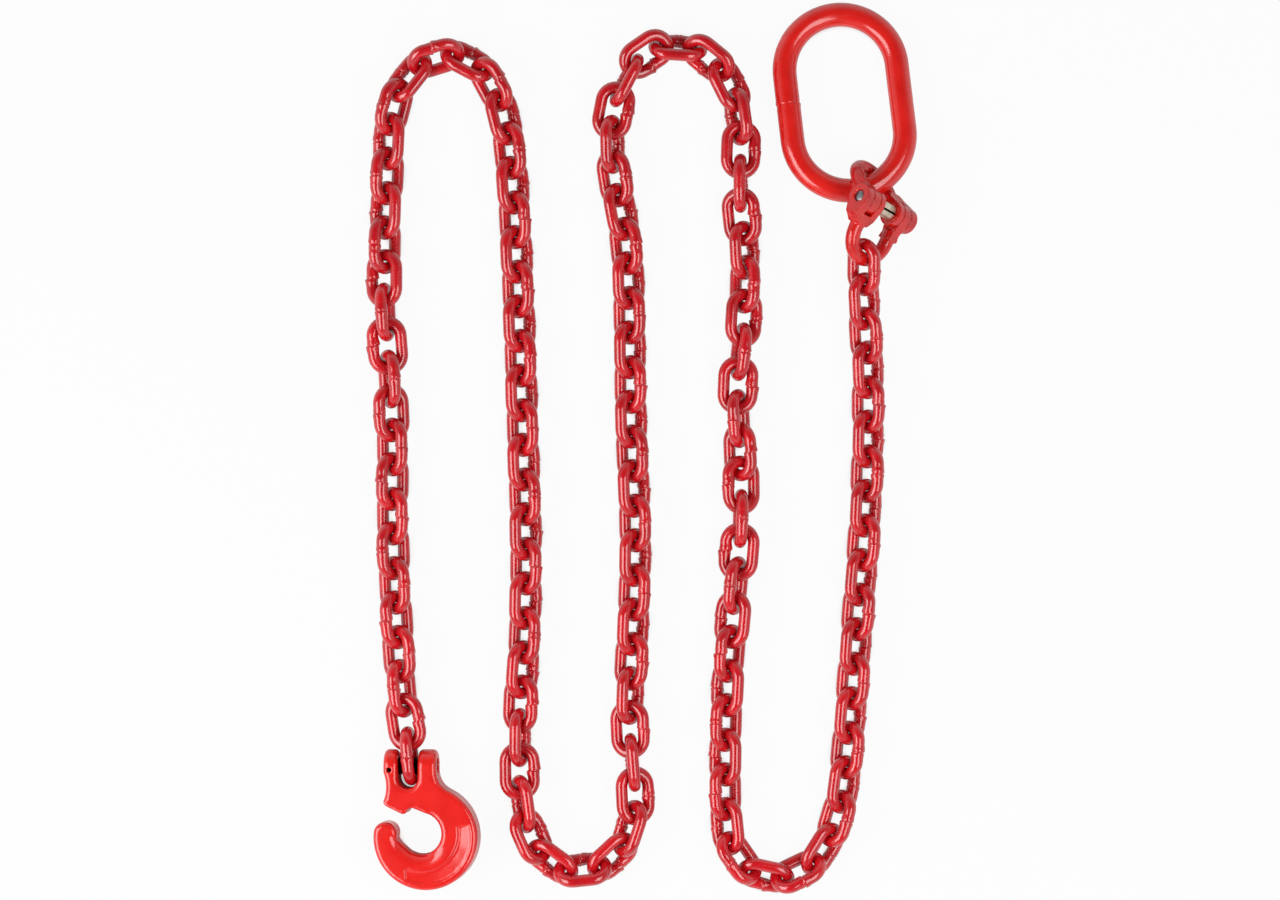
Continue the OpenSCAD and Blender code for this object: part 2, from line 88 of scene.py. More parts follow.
def in_millimetres(tree):
    """The point on the piece, in millimetres."""
    place = add_node(tree, "ShaderNodeTexCoord").outputs["Object"]
    settings = {"operation": "SCALE", "Scale": 1 / MM}
    return add_node(tree, "ShaderNodeVectorMath", settings, _0=place).outputs[0]


def mottle(tree, place, grain_mm, detail, roughness=0.5):
    """Noise with grains of grain_mm."""
    settings = {"Scale": 1 / grain_mm, "Detail": detail, "Roughness": roughness}
    return add_node(tree, "ShaderNodeTexNoise", settings, Vector=place).outputs["Fac"]


def stretch(tree, value, low, high, to_low, to_high):
    """Maps the values from low to high on to those from to_low to to_high, and goes no further."""
    settings = {"From Min": low, "From Max": high, "To Min": to_low, "To Max": to_high}
    return add_node(tree, "ShaderNodeMapRange", settings, Value=value).outputs[0]


def two_tones(tree, factor, low, low_colour, high, high_colour):
    """Fades from the low colour to the high one as the factor goes from low to high."""
    tones = add_node(tree, "ShaderNodeValToRGB", Fac=factor)
    tones.color_ramp.elements[0].position, tones.color_ramp.elements[0].color = low, srgb(low_colour)
    tones.color_ramp.elements[1].position, tones.color_ramp.elements[1].color = high, srgb(high_colour)
    return tones.outputs["Color"]


def laid_over(tree, shade, factor, colour):
    """Covers a shade with a colour by the factor. A Mix node's colours are inputs 6 and 7 and output 2."""
    settings = {"data_type": "RGBA", 7: srgb(colour)}
    return add_node(tree, "ShaderNodeMix", settings, Factor=factor, _6=shade).outputs[2]


# Enamel: where it pools it is deeper in tone, and dirt sits in it as specks, more of them at a weld.
# Each pair holds the values of the noise between which the one look goes over into the other
POOL_GRAIN_MM = 14
POOL_TONES = (0.3, 0.62)
DIRT_GRAIN_MM = 0.9
DIRT_AT_WELD = 0.16
SPECK_EDGE = (0.78, 0.84)
WORN_SPAN = (0.35, 0.7)
WORN_MORE = 0.08
CLEAR_IOR = 1.5


def enamel(name, body, deep, speck, roughness, peel, pit, calm, coat):
    """Dipped enamel. Peel and pit are (grain, height) in mm, calm is the share of the pits away from a weld,
    and coat is the clear top's (weight, roughness)."""
    material, tree, output = new_material(name)
    place = in_millimetres(tree)
    pooled = mottle(tree, place, POOL_GRAIN_MM, 3.0, 0.55)
    shade = two_tones(tree, pooled, POOL_TONES[0], deep, POOL_TONES[1], body)
    weld = add_node(tree, "ShaderNodeAttribute", {"attribute_name": "weld"}).outputs["Fac"]
    dirt = mottle(tree, place, DIRT_GRAIN_MM, 2.0)
    level = add_node(tree, "ShaderNodeMath", {"operation": "MULTIPLY_ADD", 1: DIRT_AT_WELD}, _0=weld, _2=dirt)
    specks = stretch(tree, level.outputs[0], *SPECK_EDGE, 0.0, 1.0)
    paint = laid_over(tree, shade, specks, speck)
    peeled = mottle(tree, place, peel[0], 1.0)
    pits = mottle(tree, place, pit[0], 4.0, 0.6)
    share = stretch(tree, weld, 0.0, 1.0, calm, 1.0)
    depth = add_node(tree, "ShaderNodeMath", {"operation": "MULTIPLY"}, _0=pits, _1=share).outputs[0]
    relief = add_node(tree, "ShaderNodeBump", {"Strength": 1.0, "Distance": peel[1] * MM}, Height=peeled)
    relief = add_node(tree, "ShaderNodeBump", {"Strength": 1.0, "Distance": pit[1] * MM}, Height=depth,
                      Normal=relief.outputs["Normal"])
    worn = stretch(tree, pits, *WORN_SPAN, roughness, roughness + WORN_MORE)
    settings = {"Metallic": 0.0, "IOR": CLEAR_IOR, "Coat Weight": coat[0], "Coat Roughness": coat[1],
                "Coat IOR": CLEAR_IOR}
    shader = add_node(tree, "ShaderNodeBsdfPrincipled", settings, Base_Color=paint, Roughness=worn,
                      Normal=relief.outputs["Normal"])
    tree.links.new(shader.outputs["BSDF"], output.inputs["Surface"])
    return material


# Bare steel: its dull patches, its tool lines, and painted shade on a pin's shank where it lies in shadow
PATCH_GRAIN_MM = 3.5
PATCH_TONES = (0.35, 0.65)
LINE_HEIGHT_MM = 0.03
# Painted shade: the dark colour laid on a pin's shank where the shank lies in shadow
SHANK_PAINTED_SHADE = "#14110F"


def bare_metal(name, bright, dull, roughness, grain_mm, spread):
    """Bare steel: fine lines from the tool, with dull patches of oil and handling, and with painted shade, a dark
    colour laid on where the piece's attribute marks the shank that lies in shadow. The patches are rougher than
    the rest by up to spread."""
    material, tree, output = new_material(name)
    place = in_millimetres(tree)
    patches = mottle(tree, place, PATCH_GRAIN_MM, 3.0)
    shade = two_tones(tree, patches, PATCH_TONES[0], dull, PATCH_TONES[1], bright)
    # Painted shade: the dark colour is laid over the steel where the piece's attribute says so
    painted_shade = add_node(tree, "ShaderNodeAttribute", {"attribute_name": "painted_shade"}).outputs["Fac"]
    shade = laid_over(tree, shade, painted_shade, SHANK_PAINTED_SHADE)
    lines = mottle(tree, place, grain_mm, 2.0)
    relief = add_node(tree, "ShaderNodeBump", {"Strength": 0.5, "Distance": LINE_HEIGHT_MM * MM}, Height=lines)
    worn = stretch(tree, patches, 0.0, 1.0, roughness, roughness + spread)
    shader = add_node(tree, "ShaderNodeBsdfPrincipled", {"Metallic": 1.0}, Base_Color=shade, Roughness=worn,
                      Normal=relief.outputs["Normal"])
    tree.links.new(shader.outputs["BSDF"], output.inputs["Surface"])
    return material


# Alkyd enamel, dipped on drawn bar: a deep crimson gloss that is calm on the legs and lumpy round each weld
chain_enamel = enamel("crimson_dip_enamel_on_chain", "#D2141F", "#B80F1A", "#3A0A0A", roughness=0.16,
                      peel=(2.6, 0.02), pit=(0.9, 0.16), calm=0.15, coat=(0.8, 0.06))
# Powder enamel on smooth forgings: an even bright red with a slight orange peel
fitting_enamel = enamel("bright_red_enamel_on_forging", "#E8211B", "#DC1A15", "#7A0F0B", roughness=0.18,
                        peel=(3.2, 0.025), pit=(1.4, 0.04), calm=0.3, coat=(0.55, 0.08))
# The same enamel on the coupling's forgings, whose scale shows through as grains that catch the light
rough_enamel = enamel("bright_red_enamel_on_rough_forging", "#DE1B17", "#C21310", "#5A0C08", roughness=0.2,
                      peel=(2.2, 0.04), pit=(1.0, 0.12), calm=0.6, coat=(0.4, 0.08))
# Turned and oiled steel: bright, with dull patches
pin_steel = bare_metal("turned_pin_steel", "#A9ACB0", "#6E7277", roughness=0.25, grain_mm=0.25, spread=0.14)
# Dark steel for the hook's pins: painted shade, as they lie in shadow in the slot and the hole, with a faint oily
# gloss
pin_steel_dark_as_shade = bare_metal("shadow_dark_pin_steel", "#1E1D1D", "#0C0B0B", roughness=0.4, grain_mm=0.3, spread=0.15)
# Rolled spring steel under a yellowish passivated coat: pale and satin
sleeve_steel = bare_metal("passivated_sleeve_steel", "#E6DECB", "#C8BDA6", roughness=0.38, grain_mm=0.4,
                          spread=0.12)


# Round bar bent to an oblong ring: the chain's links and the master link

def bent_bar(bar, crown, half_leg, sides, crown_steps, weld_rings, leg_steps):
    """A ring of round bar in the XY plane, long along X. Its weld is in the middle of the leg at +Y.

    weld_rings lists (place along the leg, bar radius, shift away from the ring's middle), all in metres."""
    bm = bmesh.new()
    bmesh.ops.create_circle(bm, cap_ends=False, segments=sides, radius=bar / 2)
    bmesh.ops.rotate(bm, verts=bm.verts, cent=(0, 0, 0), matrix=Matrix.Rotation(math.pi / 2, 3, "Y"))
    bmesh.ops.translate(bm, verts=bm.verts, vec=(-half_leg, crown, 0))
    ring = list(bm.edges)
    at, radius, shift = -half_leg, bar / 2, 0.0

    def next_ring():
        """Draws a new ring of edges out of the last one, and returns its points."""
        nonlocal ring
        drawn = bmesh.ops.extrude_edge_only(bm, edges=ring)["geom"]
        ring = [e for e in drawn if isinstance(e, bmesh.types.BMEdge)]
        return [v for v in drawn if isinstance(v, bmesh.types.BMVert)]

    def draw_to(x, new_radius=bar / 2, new_shift=0.0):
        """Sets a new ring at the next place along the leg, and gives it its size."""
        nonlocal at, radius, shift
        verts = next_ring()
        bmesh.ops.translate(bm, verts=verts, vec=(x - at, new_shift - shift, 0))
        centre = Matrix.Translation((-x, -crown - new_shift, 0))
        bmesh.ops.scale(bm, verts=verts, vec=(1, new_radius / radius, new_radius / radius), space=centre)
        at, radius, shift = x, new_radius, new_shift

    def bend(centre_x):
        """Turns the bar round a crown to the other leg."""
        nonlocal ring
        geom = ring + list({v for e in ring for v in e.verts})
        spun = bmesh.ops.spin(bm, geom=geom, cent=(centre_x, 0, 0), axis=(0, 0, -1), angle=math.pi,
                              steps=crown_steps, use_merge=False, use_normal_flip=False, use_duplicate=False)
        ring = [e for e in spun["geom_last"] if isinstance(e, bmesh.types.BMEdge)]

    for x, new_radius, new_shift in weld_rings:
        draw_to(x, new_radius, new_shift)
    draw_to(half_leg)
    bend(half_leg)
    for _ in range(leg_steps):
        bmesh.ops.translate(bm, verts=next_ring(), vec=(-2 * half_leg / leg_steps, 0, 0))
    bend(-half_leg)
    bmesh.ops.remove_doubles(bm, verts=bm.verts, dist=0.01 * MM)
    bmesh.ops.recalc_face_normals(bm, faces=bm.faces)
    return bm


def mark_weld(mesh, reach, crown):
    """Stores how close each point is to the weld, for the lumps and the dirt that gather there."""
    layer = mesh.attributes.new("weld", "FLOAT", "POINT")
    values = [max(0.0, 1 - Vector((v.co.x, v.co.y - crown, v.co.z)).length / reach) for v in mesh.vertices]
    layer.data.foreach_set("value", values)


# The rings on each side of a butt weld: distance from the joint in spacings, share of swell, share of step
UPSET_RINGS = [(5.2, 0.0, 0.2), (3.9, 0.2, 0.45), (3.0, 0.5, 0.7), (2.2, 0.8, 0.85), (1.5, 1.0, 0.95),
               (0.9, 1.0, 1.0), (0.45, 0.8, 1.0)]
FAR_SIDE_SWELL = 0.8


def butt_weld(bar, at, swell, step, groove, spacing):
    """The rings of a butt weld: both ends of the bar swell, and they meet a little out of line."""
    before = [(at - d * spacing, bar / 2 + share * swell, lift * step) for d, share, lift in UPSET_RINGS]
    after = [(at + d * spacing, bar / 2 + share * swell * FAR_SIDE_SWELL, -lift * step)
             for d, share, lift in reversed(UPSET_RINGS)]
    return before + [(at, bar / 2 - groove, 0.0)] + after


def roughen_weld(bm, crown, seed, reach, grain, depth):
    """Lumps and nicks of the trimmed flash, only round the weld. The seed picks their place in the noise."""
    start = Vector((17.3 * seed, 4.1 * seed, 9.7))
    for v in bm.verts:
        if v.co.y > 0 and abs(v.co.x) < reach:
            share = (1 - abs(v.co.x) / reach) ** 0.6
            outward = Vector((0, v.co.y - crown, v.co.z)).normalized()
            bump = noise.noise(v.co / grain + start) + 0.6 * noise.noise(v.co / (0.5 * grain) + start)
            v.co += outward * bump * depth * share


# Sizes of the chain's links, as in the CAD model, and the rings of faces they are made of
WIRE = 8 * MM
LINK_CROWN = 9.5 * MM
LINK_HALF_LEG = 6.3 * MM
LINK_SIDES = 24
LINK_CROWN_STEPS = 16
LINK_LEG_STEPS = 4
# The lumps of a link's weld, with their reach along the leg, grain and height, and the reach of its dirt
FLASH_REACH = 4.2 * MM
FLASH_GRAIN = 2.0 * MM
FLASH_HEIGHT = 0.42 * MM
DIRT_REACH = 6.5 * MM
# The chain takes its links in turn from these many kinds, going on by KIND_STEP from KIND_START
LINK_KINDS = 11
KIND_STEP = 5
KIND_START = 3


def link_mesh(kind):
    """One kind of link. The kinds differ in their weld's swell, step, groove and place."""
    swell = (0.36 + 0.14 * math.sin(2.1 * kind)) * MM
    step = 0.5 * math.cos(1.7 * kind) * MM
    groove = (0.05 + 0.12 * abs(math.sin(3.3 * kind))) * MM
    at = 0.5 * math.sin(5.1 * kind) * MM
    bm = bent_bar(WIRE, LINK_CROWN, LINK_HALF_LEG, LINK_SIDES, LINK_CROWN_STEPS,
                  butt_weld(WIRE, at, swell, step, groove, MM), LINK_LEG_STEPS)
    roughen_weld(bm, LINK_CROWN, kind, FLASH_REACH, FLASH_GRAIN, FLASH_HEIGHT)
    mesh = bpy.data.meshes.new("link_kind")
    bm.to_mesh(mesh)
    bm.free()
    mark_weld(mesh, DIRT_REACH, LINK_CROWN)
    return mesh


def solids_of(node):
    """The points, and the faces' middles and areas, of each separate solid of a CAD node."""
    bm = bmesh.new()
    bm.from_mesh(frame["nodes"][node].data)
    bmesh.ops.remove_doubles(bm, verts=bm.verts, dist=0.001 * MM)
    bm.verts.ensure_lookup_table()
    left, found = set(bm.verts), []
    while left:
        start = min(left, key=lambda v: v.index)
        group, edge = {start}, [start]
        while edge:
            v = edge.pop()
            for other in (e.other_vert(v) for e in v.link_edges):
                if other not in group:
                    group.add(other)
                    edge.append(other)
        left -= group
        faces = {f for v in group for f in v.link_faces}
        found.append(([v.co.copy() for v in group], [(f.calc_center_median(), f.calc_area()) for f in faces]))
    bm.free()
    return found


def three_ways(points, faces):
    """The middle of a solid and its own three directions, from the shortest way to the longest."""
    centres = np.array([c for c, _ in faces])
    weights = np.array([a for _, a in faces])
    middle = (centres * weights[:, None]).sum(0) / weights.sum()
    _, ways = np.linalg.eigh(np.cov((centres - middle).T, aweights=weights))
    return middle, ways


def ring_place(points, faces, half_width, weld_side=None):
    """Where an oblong ring lies: its long way is X, its weld is at +Y, its opening looks along Z.

    The weld is on the leg that reaches further out, or on the one that lies towards weld_side."""
    middle, ways = three_ways(points, faces)
    long_way, across = ways[:, 2], ways[:, 1]
    if long_way[1] < 0:
        long_way = -long_way
    places = np.array(points) - middle
    ends = [(places @ across).min(), (places @ across).max()]
    turned = -ends[0] > ends[1] if weld_side is None else across @ np.array(weld_side) < 0
    if turned:
        across, ends = -across, [-ends[1], -ends[0]]
    reach = [(places @ long_way).min(), (places @ long_way).max()]
    centre = middle + across * (ends[0] + half_width) + long_way * (reach[0] + reach[1]) / 2
    square = np.cross(long_way, across)
    return Matrix([[long_way[i], across[i], square[i], centre[i]] for i in range(3)] + [[0, 0, 0, 1]])


def finish_piece(name, mesh, material, body, slot, *nodes):
    """Makes the piece, shades it smooth, and lets it ride on its body in place of its CAD nodes."""
    piece = bpy.data.objects.new(name, mesh)
    bpy.context.scene.collection.objects.link(piece)
    mesh.materials.clear()
    mesh.materials.append(material)
    mesh.shade_smooth()
    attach(piece, body)
    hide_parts(*nodes)


def chain():
    """Lays a link of one of the kinds in the place of each link of the CAD model, run by run."""
    kinds = [link_mesh(k) for k in range(LINK_KINDS)]
    half_width = LINK_CROWN + WIRE / 2
    count = 0
    for run in sorted(n for n in frame["nodes"] if n.startswith("chain_link")):
        bm = bmesh.new()
        places = [ring_place(*solid, half_width) for solid in solids_of(run)]
        places.sort(key=lambda place: tuple(place.translation))
        for place in places:
            copy = kinds[(count * KIND_STEP + KIND_START) % LINK_KINDS].copy()
            copy.transform(place)
            bm.from_mesh(copy)
            bpy.data.meshes.remove(copy)
            count += 1
        mesh = bpy.data.meshes.new("enamelled_" + run)
        bm.to_mesh(mesh)
        bm.free()
        finish_piece("enamelled_" + run, mesh, chain_enamel, body_of_node[run], "chain_paint", run)


# Sizes of the master link, as in the CAD model, and the rings of faces it is made of
MASTER_BAR = 16 * MM
MASTER_CROWN = 37.5 * MM
MASTER_HALF_LEG = 22 * MM
MASTER_SIDES = 56
MASTER_CROWN_STEPS = 56
MASTER_LEG_STEPS = 12
MASTER_WELD_REACH = 3 * MM
MASTER_DIRT_REACH = 4 * MM
LEFT = (-1, 0, 0)


def master_link():
    """The master link. Its flash was ground off, so only a fine line and a small step show on its left leg."""
    weld = butt_weld(MASTER_BAR, at=3 * MM, swell=0.1 * MM, step=-0.3 * MM, groove=0.22 * MM, spacing=0.6 * MM)
    bm = bent_bar(MASTER_BAR, MASTER_CROWN, MASTER_HALF_LEG, MASTER_SIDES, MASTER_CROWN_STEPS, weld,
                  MASTER_LEG_STEPS)
    roughen_weld(bm, MASTER_CROWN, seed=3, reach=MASTER_WELD_REACH, grain=2.4 * MM, depth=0.06 * MM)
    place = ring_place(*solids_of("master_link")[0], MASTER_CROWN + MASTER_BAR / 2, LEFT)
    mesh = bpy.data.meshes.new("forged_master_link")
    bm.to_mesh(mesh)
    bm.free()
    mark_weld(mesh, MASTER_DIRT_REACH, MASTER_CROWN)
    mesh.transform(place)
    finish_piece("forged_master_link", mesh, fitting_enamel, body_of_node["master_link"], "fitting_paint",
                 "master_link")


# Forged fittings: the CAD solids with their edges rounded as a hammer die leaves them

# The hook's bowl in the hook's own frame, whose X is the load pin's axis and whose faces look along Z.
# The hook lies tilted, with its right side up, so this frame is turned about the load pin's middle
HOOK_TILT = math.radians(6)
BOWL_CENTRE = Vector((8, -44.7)) * MM
BOWL_RADIUS = 14 * MM
# The bowl's edge is straight towards the hook's tip, and round from ROUND_START (in degrees) on
STRAIGHT_START = Vector((-1.38, -55.09)) * MM
STRAIGHT_END = Vector((-7.87, -49.23)) * MM
ROUND_START = -135
# The lip's rounding: its reach from the edge, its height at the edge, and half the hook's thickness
LIP_REACH = 9.5 * MM
LIP_LOW = 4 * MM
LIP_HIGH = 11 * MM
# The rounding fades out from 0.6 to 1.6 lengths of the straight edge, and from -75 to -25 degrees of the round
STRAIGHT_FADE_END = 1.6
ROUND_FADE_END = -25
ROUND_FADE = 50


def within(value, low, high):
    """The value, kept between low and high."""
    return max(low, min(high, value))


def from_bowl(x, y):
    """How far a point of the hook's face lies from the bowl's edge, and the lip's share of rounding there."""
    place = Vector((x, y))
    run = STRAIGHT_END - STRAIGHT_START
    along = (place - STRAIGHT_START).dot(run) / run.length_squared
    if along > 0 and y < BOWL_CENTRE.y:
        outward = Vector((run.y, -run.x)).normalized()
        return abs((place - STRAIGHT_START).dot(outward)), within(STRAIGHT_FADE_END - along, 0.0, 1.0)
    turn = math.degrees(math.atan2(y - BOWL_CENTRE.y, x - BOWL_CENTRE.x))
    share = within((ROUND_FADE_END - turn) / ROUND_FADE, 0.0, 1.0) if turn > ROUND_START else 0.0
    return (place - BOWL_CENTRE).length - BOWL_RADIUS, share


def round_lip(bm):
    """Rolls the lip of the hook's bowl over: it falls in a quarter of an oval from LIP_HIGH to LIP_LOW."""
    load_pin_centre = next(Vector(j["pos_m"]) for j in frame["joints"] if j["name"] == "hook_on_load_pin")
    to_world = Matrix.Translation(load_pin_centre) @ Matrix.Rotation(-HOOK_TILT, 4, "Y")
    to_hook = to_world.inverted()
    for v in bm.verts:
        p = to_hook @ v.co
        inside, share = from_bowl(p.x, p.y)
        if -MM < inside < LIP_REACH and share > 0:
            fall = 1 - math.sqrt(1 - (1 - max(0.0, inside) / LIP_REACH) ** 2)
            most = LIP_HIGH - (LIP_HIGH - LIP_LOW) * fall * share
            if abs(p.z) > most:
                p.z = math.copysign(most, p.z)
                v.co = to_world @ p


# Skins of the forgings: voxel, rounds of smoothing, and the grain and height of the lumps in mm
COUPLING_SKIN = (0.4 * MM, 7, 3.0, 0.12)
HOOK_SKIN = (0.5 * MM, 6, 9.0, 0.06)


def forged(name, node, voxel, rounds, lump_mm, lump_height_mm, material, shaped=None):
    """Fuses the node's faces to an even skin of voxel-sized faces, shapes it, eases its edges by rounds of
    smoothing and adds the scale's low lumps."""
    bm = bmesh.new()
    bm.from_mesh(frame["nodes"][node].data)
    bmesh.ops.remove_doubles(bm, verts=bm.verts, dist=0.001 * MM)
    mesh = bpy.data.meshes.new(name + "_core")
    bm.to_mesh(mesh)
    bm.free()
    core = bpy.data.objects.new(name + "_core", mesh)
    bpy.context.scene.collection.objects.link(core)
    remesh = core.modifiers.new("skin", "REMESH")
    remesh.mode, remesh.voxel_size = "VOXEL", voxel
    skin = bpy.data.meshes.new_from_object(core.evaluated_get(bpy.context.evaluated_depsgraph_get()))
    bpy.data.objects.remove(core)
    bm = bmesh.new()
    bm.from_mesh(skin)
    if shaped:
        shaped(bm)
    for _ in range(rounds):
        bmesh.ops.smooth_vert(bm, verts=bm.verts, factor=0.5, use_axis_x=True, use_axis_y=True, use_axis_z=True)
    bm.normal_update()
    for v in bm.verts:
        v.co += v.normal * noise.noise(v.co / (lump_mm * MM)) * lump_height_mm * MM
    bm.to_mesh(skin)
    bm.free()
    finish_piece(name, skin, material, body_of_node[node], "fitting_paint", node)


# Pins and sleeve

def bar_of(node):
    """The middle, the long axis, the half length and the radius of a round node."""
    points, faces = solids_of(node)[0]
    middle, ways = three_ways(points, faces)
    places = np.array(points) - middle
    along = places @ ways[:, 2]
    radius = np.linalg.norm(places - np.outer(along, ways[:, 2]), axis=1).max()
    centre = middle + ways[:, 2] * (along.max() + along.min()) / 2
    return Vector(centre), Vector(ways[:, 2]), (along.max() - along.min()) / 2, radius


def set_on_axis(bm, centre, axis, facing):
    """Moves a piece made round Z, with its front at +X, to its place."""
    front = Vector(facing) - axis * axis.dot(Vector(facing))
    front.normalize()
    side = axis.cross(front)
    bmesh.ops.transform(bm, verts=bm.verts, matrix=Matrix(
        [[front[i], side[i], axis[i], centre[i]] for i in range(3)] + [[0, 0, 0, 1]]))


UP = (0, 0, 1)
PIN_SIDES = 48
DOME_TURNS = (0, 15, 30, 45, 60, 75, 90)
# The painted shade on the shank starts this far behind the domed end, and fades in over the next stretch
PAINTED_SHADE_START = 1 * MM
PAINTED_SHADE_FADE = 0.2 * MM


def turned_pin(name, node, dome, material):
    """A pin whose ends are domed by the hammer and whose shank is painted dark as shade, where it lies in shadow.
    """
    centre, axis, half, radius = bar_of(node)
    turns = [math.radians(a) for a in DOME_TURNS]
    end = [(radius * math.sin(a), half - dome * (1 - math.cos(a))) for a in turns]
    end += [(radius, half - dome - PAINTED_SHADE_START), (radius, half - dome - PAINTED_SHADE_START - PAINTED_SHADE_FADE)]
    profile = end + [(r, -z) for r, z in reversed(end)]
    bm = bmesh.new()
    verts = [bm.verts.new((r, 0, z)) for r, z in profile]
    edges = [bm.edges.new(pair) for pair in zip(verts, verts[1:])]
    bmesh.ops.spin(bm, geom=verts + edges, cent=(0, 0, 0), axis=(0, 0, 1), angle=math.tau, steps=PIN_SIDES,
                   use_merge=True, use_normal_flip=False, use_duplicate=False)
    bmesh.ops.remove_doubles(bm, verts=bm.verts, dist=0.005 * MM)
    bmesh.ops.recalc_face_normals(bm, faces=bm.faces)
    set_on_axis(bm, centre, axis, UP)
    mesh = bpy.data.meshes.new(name)
    bm.to_mesh(mesh)
    bm.free()
    # The stretch of shank between the domed ends is marked for painted shade
    painted_shade_reach = half - dome - PAINTED_SHADE_START - PAINTED_SHADE_FADE / 2
    mesh.attributes.new("painted_shade", "FLOAT", "POINT").data.foreach_set(
        "value", [float(abs((v.co - centre).dot(axis)) < painted_shade_reach) for v in mesh.vertices])
    finish_piece(name, mesh, material, body_of_node[node], "pin_steel", node)


SLEEVE_STEPS = 60
SLEEVE_SHARP = math.radians(35)


def rolled_sleeve(wall, slot_width, edge):
    """The spring sleeve: strip steel rolled round the pin, with its edges broken and its slot turned up.

    Its axis is the pin's, because the sleeve is too short and its slot too wide to find it from the sleeve."""
    node = "coupling_sleeve"
    pin_centre, axis = bar_of("coupling_pin")[:2]
    places = [Vector(p) - pin_centre for p in solids_of(node)[0][0]]
    along = [p.dot(axis) for p in places]
    centre, half = pin_centre + axis * (max(along) + min(along)) / 2, (max(along) - min(along)) / 2
    radius = max((p - axis * p.dot(axis)).length for p in places)
    gap = slot_width / radius
    bm = bmesh.new()
    loop = [(radius, half - edge), (radius - edge, half), (radius - wall, half), (radius - wall, -half),
            (radius - edge, -half), (radius, edge - half)]
    verts = [bm.verts.new((r * math.cos(gap / 2), r * math.sin(gap / 2), z)) for r, z in loop]
    edges = [bm.edges.new(pair) for pair in zip(verts, verts[1:] + verts[:1])]
    spun = bmesh.ops.spin(bm, geom=verts + edges, cent=(0, 0, 0), axis=(0, 0, 1), angle=math.tau - gap,
                          steps=SLEEVE_STEPS, use_merge=False, use_normal_flip=False, use_duplicate=False)
    ends = edges + [e for e in spun["geom_last"] if isinstance(e, bmesh.types.BMEdge)]
    bmesh.ops.holes_fill(bm, edges=ends, sides=0)
    bmesh.ops.recalc_face_normals(bm, faces=bm.faces)
    set_on_axis(bm, centre, axis, UP)
    mesh = bpy.data.meshes.new("rolled_coupling_sleeve")
    bm.to_mesh(mesh)
    bm.free()
    finish_piece("rolled_coupling_sleeve", mesh, sleeve_steel, body_of_node[node], "sleeve_metal", node)
    mesh.set_sharp_from_angle(angle=SLEEVE_SHARP)


def fittings():
    """The master link, the coupling's forged halves, the hook, and the pins and sleeve that hold them."""
    master_link()
    forged("forged_coupling_upper", "coupling_upper_half", *COUPLING_SKIN, rough_enamel)
    forged("forged_coupling_lower", "coupling_lower_half", *COUPLING_SKIN, rough_enamel)
    forged("forged_choker_hook", "choker_hook", *HOOK_SKIN, fitting_enamel, round_lip)
    turned_pin("turned_coupling_pin", "coupling_pin", 1.2 * MM, pin_steel)
    # The hook's two pins take the dark steel as painted shade, for the shadow in the slot and the hole
    turned_pin("shadow_dark_hook_load_pin", "hook_load_pin", 0.5 * MM, pin_steel_dark_as_shade)
    turned_pin("shadow_dark_hook_roll_pin", "hook_roll_pin", 0.3 * MM, pin_steel_dark_as_shade)
    rolled_sleeve(wall=1.3 * MM, slot_width=1.6 * MM, edge=0.35 * MM)


# Studio: a white floor, two long soft boxes and a camera straight above

# What the photograph shows: the width it covers at the chain's mean height, and the point at its middle
PHOTO_WIDTH = 853.3 * MM
PHOTO_MIDDLE = (-0.9 * MM, -2 * MM)
MEAN_HEIGHT = 14 * MM
CAMERA_HEIGHT = 3.0
SENSOR_MM = 36.0


def camera():
    """A camera straight above that takes in what the photograph shows."""
    data = bpy.data.cameras.new("camera")
    data.sensor_width = SENSOR_MM
    data.lens = SENSOR_MM * (CAMERA_HEIGHT - MEAN_HEIGHT) / PHOTO_WIDTH
    data.clip_start, data.clip_end = 0.05, 20
    made = bpy.data.objects.new("camera", data)
    bpy.context.scene.collection.objects.link(made)
    made.location = (*PHOTO_MIDDLE, CAMERA_HEIGHT)
    bpy.context.scene.camera = made


# The floor lies just under the lumps of the lowest welds
FLOOR_HEIGHT = -0.7 * MM
FLOOR_HALF_SIZE = 4
FLOOR_COLOUR = "#D8D8D8"
# How far the floor looks round for shade, the openness between which the shade ends, and the white beyond
NOOK_REACH = 8 * MM
NOOK_OPEN = (0.36, 0.54)
PAPER_WHITE = 0.94
# The same for the floor's image in the enamel
MIRRORED_REACH = 30 * MM
MIRRORED_OPEN = (0.5, 1.0)
MIRRORED_WHITE = 0.6


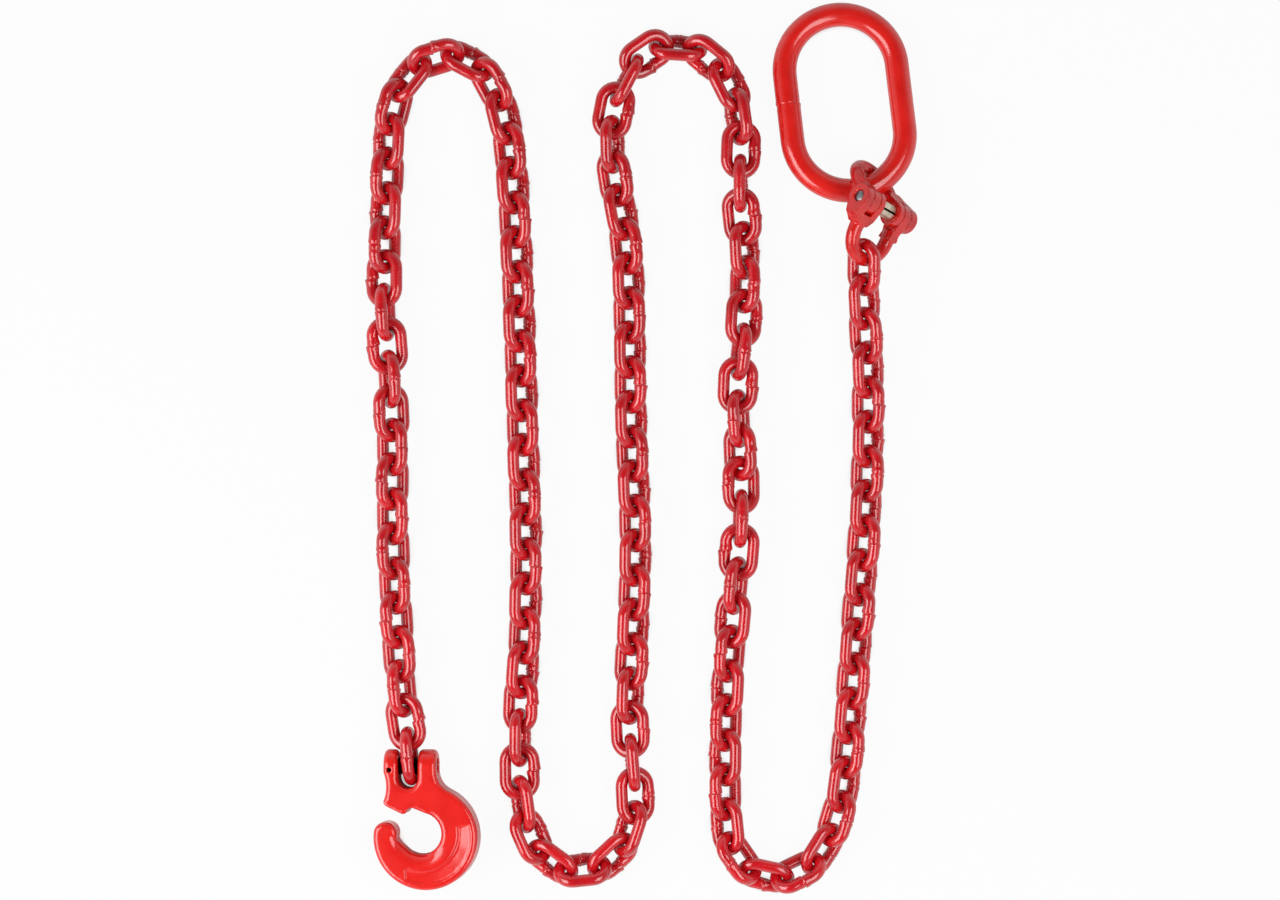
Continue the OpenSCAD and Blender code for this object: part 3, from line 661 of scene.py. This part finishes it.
def floor():
    """White paper that looks pure white where it lies open, and keeps its shade under the chain."""
    bm = bmesh.new()
    bmesh.ops.create_grid(bm, x_segments=1, y_segments=1, size=FLOOR_HALF_SIZE)
    mesh = bpy.data.meshes.new("studio_floor")
    bm.to_mesh(mesh)
    bm.free()
    made = bpy.data.objects.new("studio_floor", mesh)
    bpy.context.scene.collection.objects.link(made)
    made.location.z = FLOOR_HEIGHT
    material, tree, output = new_material("white_paper_sweep")
    paper = add_node(tree, "ShaderNodeBsdfDiffuse", {"Color": srgb(FLOOR_COLOUR)})
    looks = add_node(tree, "ShaderNodeLightPath")
    seen = add_node(tree, "ShaderNodeMath", {"operation": "MAXIMUM"}, _0=looks.outputs["Is Camera Ray"],
                    _1=looks.outputs["Is Transmission Ray"])
    nook = add_node(tree, "ShaderNodeAmbientOcclusion", {"samples": 8, "Distance": NOOK_REACH})
    open_paper = stretch(tree, nook.outputs["AO"], *NOOK_OPEN, 0.0, PAPER_WHITE)
    shadow = add_node(tree, "ShaderNodeAmbientOcclusion", {"samples": 4, "Distance": MIRRORED_REACH})
    lit_paper = stretch(tree, shadow.outputs["AO"], *MIRRORED_OPEN, 0.0, MIRRORED_WHITE)
    mirrored = add_node(tree, "ShaderNodeMath", {"operation": "MULTIPLY"}, _0=looks.outputs["Is Glossy Ray"],
                        _1=lit_paper)
    factor = add_node(tree, "ShaderNodeMath", {"operation": "MULTIPLY_ADD"}, _0=seen.outputs[0], _1=open_paper,
                      _2=mirrored.outputs[0])
    white = add_node(tree, "ShaderNodeEmission", {"Color": (1, 1, 1, 1), "Strength": 1.0})
    both = add_node(tree, "ShaderNodeMixShader", _0=factor.outputs[0], _1=paper.outputs[0], _2=white.outputs[0])
    tree.links.new(both.outputs[0], output.inputs["Surface"])
    mesh.materials.append(material)


def soft_box(name, place, width, length, radiance):
    """A soft box that looks at the middle of the lay-out, with its long side along Y."""
    data = bpy.data.lights.new(name, "AREA")
    data.shape, data.size, data.size_y = "RECTANGLE", width, length
    data.energy = radiance * math.pi * width * length
    made = bpy.data.objects.new(name, data)
    bpy.context.scene.collection.objects.link(made)
    back = Vector((place[0], 0, place[2])).normalized()
    along = Vector((0, 1, 0))
    side = along.cross(back)
    made.matrix_world = Matrix([[side[i], along[i], back[i], place[i]] for i in range(3)] + [[0, 0, 0, 1]])


# The room's light by the height of the ray: from the horizon (0) to straight up (1)
ROOM_LIGHT = [(0.1, 1.0), (0.45, 0.4), (0.85, 0.06)]
ROOM_ON_MATT = 0.75


def studio():
    """A room that is white round the horizon and dim overhead, so that flat tops keep their colour."""
    world = bpy.data.worlds.new("studio")
    bpy.context.scene.world = world
    world.use_nodes = True
    tree = world.node_tree
    tree.nodes.clear()
    ray = add_node(tree, "ShaderNodeTexCoord").outputs["Generated"]
    height = add_node(tree, "ShaderNodeSeparateXYZ", Vector=ray)
    wall = add_node(tree, "ShaderNodeValToRGB", Fac=height.outputs["Z"])
    steps = wall.color_ramp.elements
    steps[0].position, steps[1].position = ROOM_LIGHT[0][0], ROOM_LIGHT[-1][0]
    for place, _ in ROOM_LIGHT[1:-1]:
        steps.new(place)
    for step, (_, grey) in zip(steps, ROOM_LIGHT):
        step.color = (grey, grey, grey, 1)
    looks = add_node(tree, "ShaderNodeLightPath")
    strength = stretch(tree, looks.outputs["Is Diffuse Ray"], 0.0, 1.0, 1.0, ROOM_ON_MATT)
    light = add_node(tree, "ShaderNodeBackground", Color=wall.outputs["Color"], Strength=strength)
    add_node(tree, "ShaderNodeOutputWorld", Surface=light.outputs[0])
    soft_box("left_box", (-1.14, -0.5, 1.12), width=0.85, length=1.46, radiance=5.4)
    soft_box("right_box", (0.75, -0.5, 1.41), width=0.78, length=1.46, radiance=4.4)
    bpy.context.scene.view_settings.view_transform = "Standard"


camera()
studio()
floor()
chain()
fittings()
